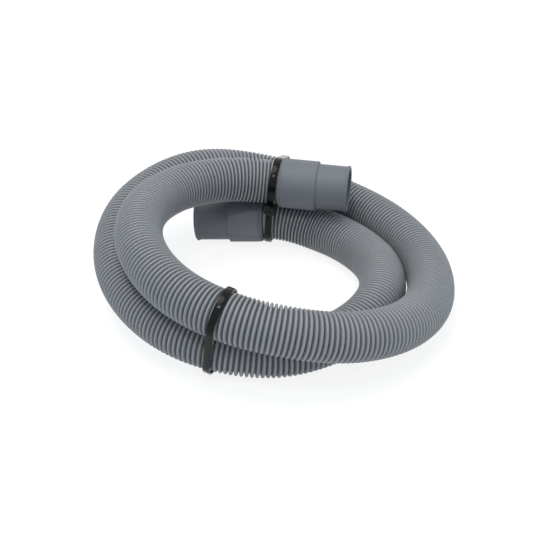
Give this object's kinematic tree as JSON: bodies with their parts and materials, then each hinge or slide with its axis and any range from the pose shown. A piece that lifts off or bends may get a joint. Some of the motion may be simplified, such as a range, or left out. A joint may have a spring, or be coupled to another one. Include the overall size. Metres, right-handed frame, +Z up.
{
  "type": "washing machine drain hose",
  "caption": "Grey corrugated drain hose with a stepped moulded sleeve on each end, coiled and held by cable ties.",
  "frame": {"origin": "centre of the coil's outline, on the surface it lies on", "axes": "+Z up, +X towards the upper sleeve's mouth, -Y towards the front tie"},
  "size_m": [0.2452, 0.2565, 0.0801],
  "materials": {
    "hose": "satin grey, ribbed",
    "sleeve": "matte grey",
    "tie": "semi-gloss black"
  },
  "bodies": {
    "root": {"corrugated_hose": "hose", "upper_end_sleeve": "sleeve", "lower_end_sleeve": "sleeve", "front_cable_tie": "tie", "rear_cable_tie": "tie"}
  },
  "joints": []
}
